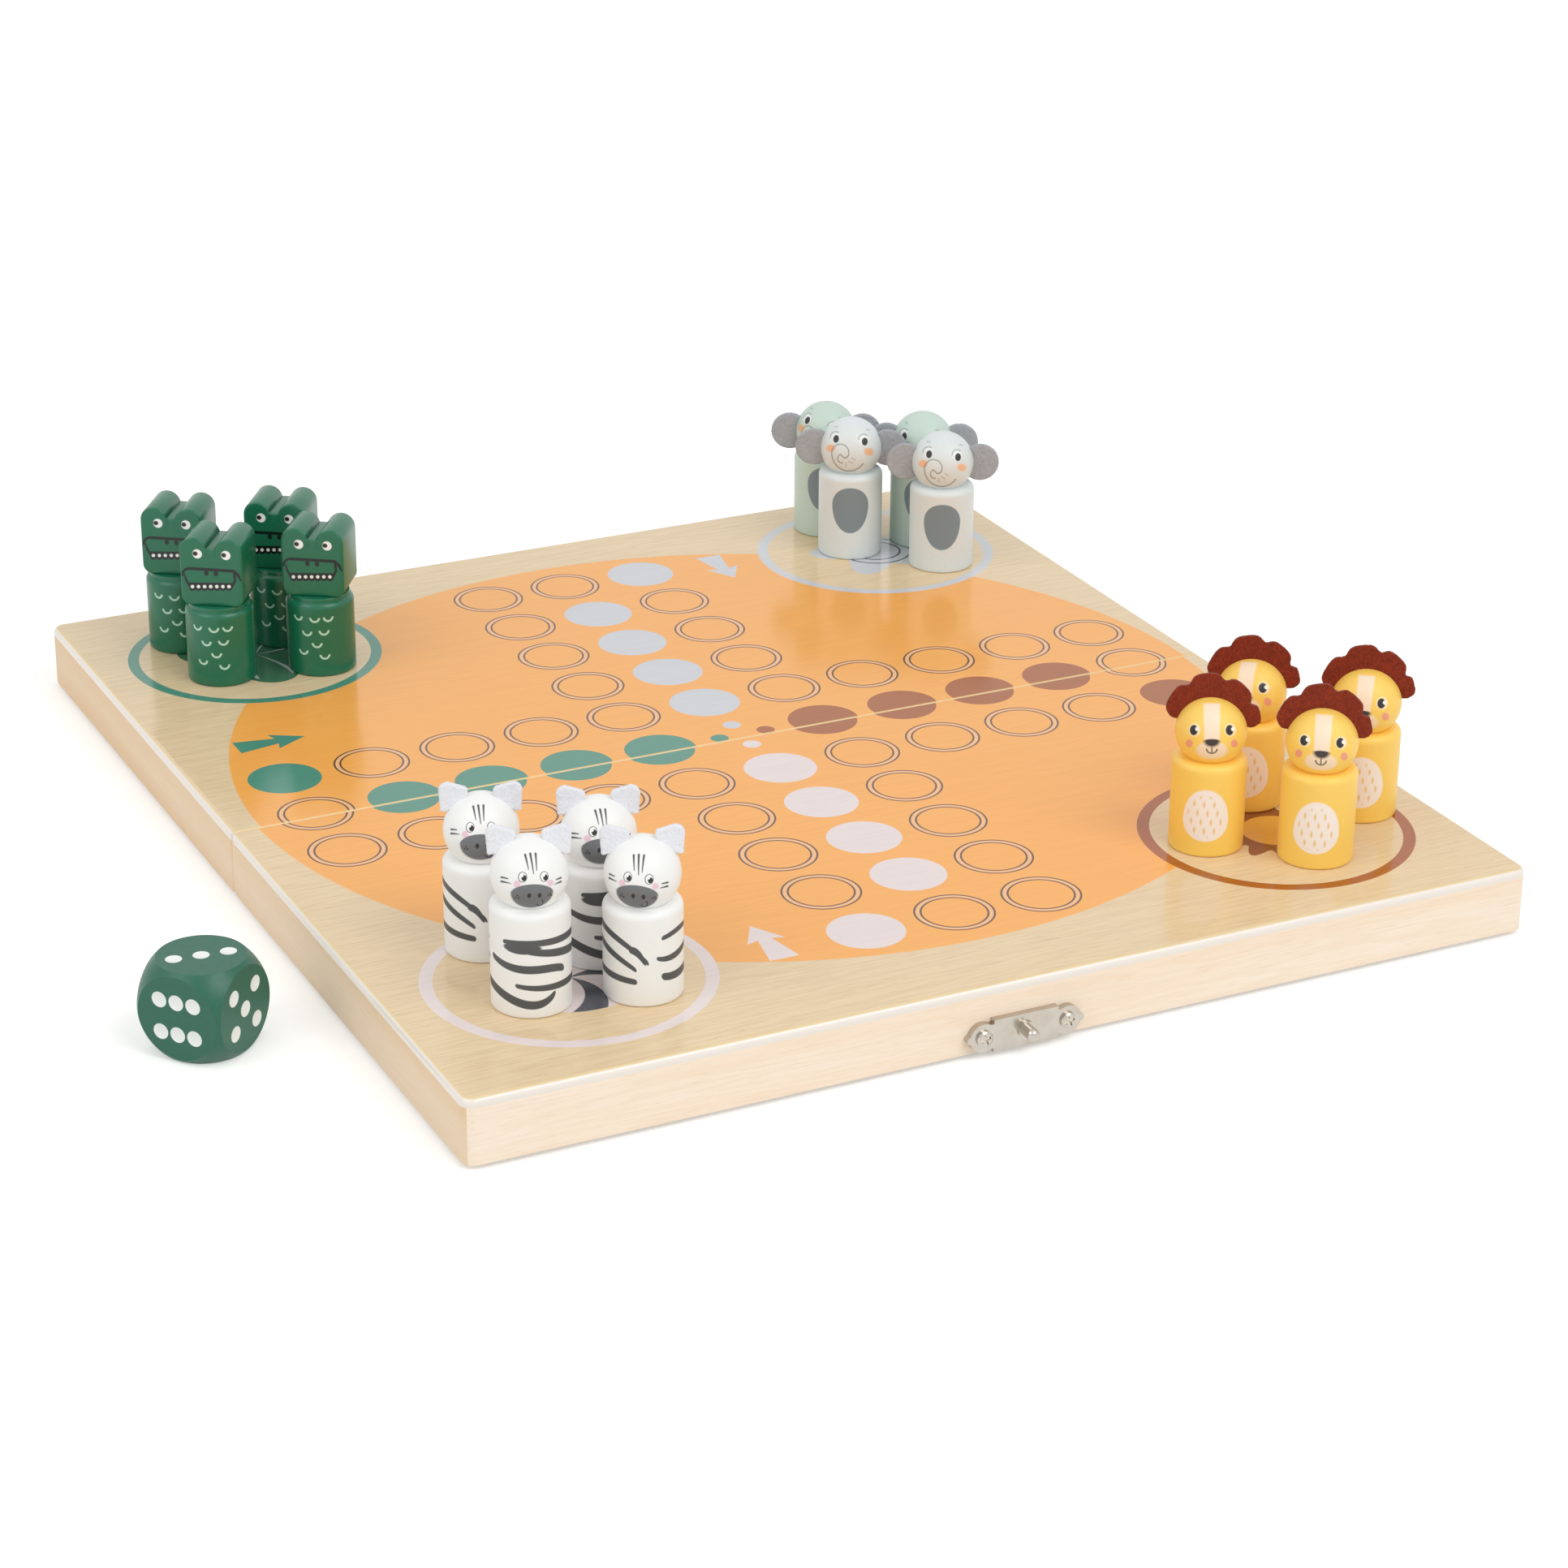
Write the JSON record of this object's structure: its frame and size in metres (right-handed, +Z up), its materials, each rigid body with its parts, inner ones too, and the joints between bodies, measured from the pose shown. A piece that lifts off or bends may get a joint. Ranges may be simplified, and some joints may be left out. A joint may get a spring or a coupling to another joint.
{
  "type": "folding ludo board box",
  "caption": "Folding wooden board-game box: two shallow hinged trays printed with a cross-shaped track, hook and stud catch, animal pawns and a die.",
  "frame": {"origin": "middle of the fold line, in the plane of the two trays' rims, with the board open and lying face up", "axes": "+X along the fold to the right of the catch stud's side, +Y from the stud's edge to the back half, +Z up out of the playing face"},
  "size_m": [0.3176, 0.3112, 0.0613],
  "materials": {
    "plywood": "clear satin lacquer over a printed board pattern",
    "pine": "sanded, clear satin lacquer",
    "nickel": "bright nickel-plated stamped steel",
    "zebra_paint": "white satin paint on turned wood, dark grey print",
    "lion_paint": "warm yellow satin paint on turned wood, cream print",
    "elephant_paint": "pale grey-green satin paint on turned wood, grey print",
    "crocodile_paint": "green gloss paint on turned wood, white and black print",
    "white_felt": "soft white felt",
    "mane_felt": "red-brown felt",
    "grey_felt": "grey felt",
    "die_paint": "green satin paint on wood, white pips"
  },
  "bodies": {
    "front_half": {"front_play_panel": "plywood", "front_outer_rail": "pine", "front_fold_rail": "pine", "front_left_rail": "pine", "front_right_rail": "pine", "left_hinge_front_leaf": "nickel", "left_hinge_pin": "nickel", "right_hinge_front_leaf": "nickel", "right_hinge_pin": "nickel", "front_hinge_screws": "nickel", "stud_plate": "nickel", "catch_stud": "nickel", "stud_plate_screws": "nickel"},
    "back_half": {"back_play_panel": "plywood", "back_outer_rail": "pine", "back_fold_rail": "pine", "back_left_rail": "pine", "back_right_rail": "pine", "left_hinge_back_leaf": "nickel", "right_hinge_back_leaf": "nickel", "back_hinge_screws": "nickel", "hook_plate": "nickel", "hook_rivet": "nickel", "hook_plate_screws": "nickel"},
    "catch_hook": {"catch_hook": "nickel"},
    "zebra_1_pawn": {"zebra_1": "zebra_paint", "zebra_1_ears": "white_felt"},
    "zebra_2_pawn": {"zebra_2": "zebra_paint", "zebra_2_ears": "white_felt"},
    "zebra_3_pawn": {"zebra_3": "zebra_paint", "zebra_3_ears": "white_felt"},
    "zebra_4_pawn": {"zebra_4": "zebra_paint", "zebra_4_ears": "white_felt"},
    "lion_1_pawn": {"lion_1": "lion_paint", "lion_1_mane": "mane_felt"},
    "lion_2_pawn": {"lion_2": "lion_paint", "lion_2_mane": "mane_felt"},
    "lion_3_pawn": {"lion_3": "lion_paint", "lion_3_mane": "mane_felt"},
    "lion_4_pawn": {"lion_4": "lion_paint", "lion_4_mane": "mane_felt"},
    "elephant_1_pawn": {"elephant_1": "elephant_paint", "elephant_1_ears": "grey_felt"},
    "elephant_2_pawn": {"elephant_2": "elephant_paint", "elephant_2_ears": "grey_felt"},
    "elephant_3_pawn": {"elephant_3": "elephant_paint", "elephant_3_ears": "grey_felt"},
    "elephant_4_pawn": {"elephant_4": "elephant_paint", "elephant_4_ears": "grey_felt"},
    "crocodile_1_pawn": {"crocodile_1": "crocodile_paint", "crocodile_1_head": "crocodile_paint"},
    "crocodile_2_pawn": {"crocodile_2": "crocodile_paint", "crocodile_2_head": "crocodile_paint"},
    "crocodile_3_pawn": {"crocodile_3": "crocodile_paint", "crocodile_3_head": "crocodile_paint"},
    "crocodile_4_pawn": {"crocodile_4": "crocodile_paint", "crocodile_4_head": "crocodile_paint"},
    "die": {"die": "die_paint"}
  },
  "joints": [
    {"name": "board_fold", "type": "hinge", "parent": "front_half", "child": "back_half", "pos_m": [0, 0, 0], "axis": [-1, 0, 0], "range_deg": [0, 180]},
    {"name": "catch_hook_swing", "type": "hinge", "parent": "back_half", "child": "catch_hook", "pos_m": [-0.0013, 0.15, 0.0042], "axis": [0, 1, 0], "range_deg": [0, 90]},
    {"name": "die_lift", "type": "slide", "parent": "front_half", "child": "die", "axis": [0, 0, 1], "range_m": [0, 0.08]},
    {"name": "zebra_1_lift", "type": "slide", "parent": "front_half", "child": "zebra_1_pawn", "axis": [0, 0, 1], "range_m": [0, 0.08]},
    {"name": "zebra_2_lift", "type": "slide", "parent": "front_half", "child": "zebra_2_pawn", "axis": [0, 0, 1], "range_m": [0, 0.08]},
    {"name": "zebra_3_lift", "type": "slide", "parent": "front_half", "child": "zebra_3_pawn", "axis": [0, 0, 1], "range_m": [0, 0.08]},
    {"name": "zebra_4_lift", "type": "slide", "parent": "front_half", "child": "zebra_4_pawn", "axis": [0, 0, 1], "range_m": [0, 0.08]},
    {"name": "lion_1_lift", "type": "slide", "parent": "front_half", "child": "lion_1_pawn", "axis": [0, 0, 1], "range_m": [0, 0.08]},
    {"name": "lion_2_lift", "type": "slide", "parent": "front_half", "child": "lion_2_pawn", "axis": [0, 0, 1], "range_m": [0, 0.08]},
    {"name": "lion_3_lift", "type": "slide", "parent": "front_half", "child": "lion_3_pawn", "axis": [0, 0, 1], "range_m": [0, 0.08]},
    {"name": "lion_4_lift", "type": "slide", "parent": "front_half", "child": "lion_4_pawn", "axis": [0, 0, 1], "range_m": [0, 0.08]},
    {"name": "elephant_1_lift", "type": "slide", "parent": "back_half", "child": "elephant_1_pawn", "axis": [0, 0, 1], "range_m": [0, 0.08]},
    {"name": "elephant_2_lift", "type": "slide", "parent": "back_half", "child": "elephant_2_pawn", "axis": [0, 0, 1], "range_m": [0, 0.08]},
    {"name": "elephant_3_lift", "type": "slide", "parent": "back_half", "child": "elephant_3_pawn", "axis": [0, 0, 1], "range_m": [0, 0.08]},
    {"name": "elephant_4_lift", "type": "slide", "parent": "back_half", "child": "elephant_4_pawn", "axis": [0, 0, 1], "range_m": [0, 0.08]},
    {"name": "crocodile_1_lift", "type": "slide", "parent": "back_half", "child": "crocodile_1_pawn", "axis": [0, 0, 1], "range_m": [0, 0.08]},
    {"name": "crocodile_2_lift", "type": "slide", "parent": "back_half", "child": "crocodile_2_pawn", "axis": [0, 0, 1], "range_m": [0, 0.08]},
    {"name": "crocodile_3_lift", "type": "slide", "parent": "back_half", "child": "crocodile_3_pawn", "axis": [0, 0, 1], "range_m": [0, 0.08]},
    {"name": "crocodile_4_lift", "type": "slide", "parent": "back_half", "child": "crocodile_4_pawn", "axis": [0, 0, 1], "range_m": [0, 0.08]}
  ]
}
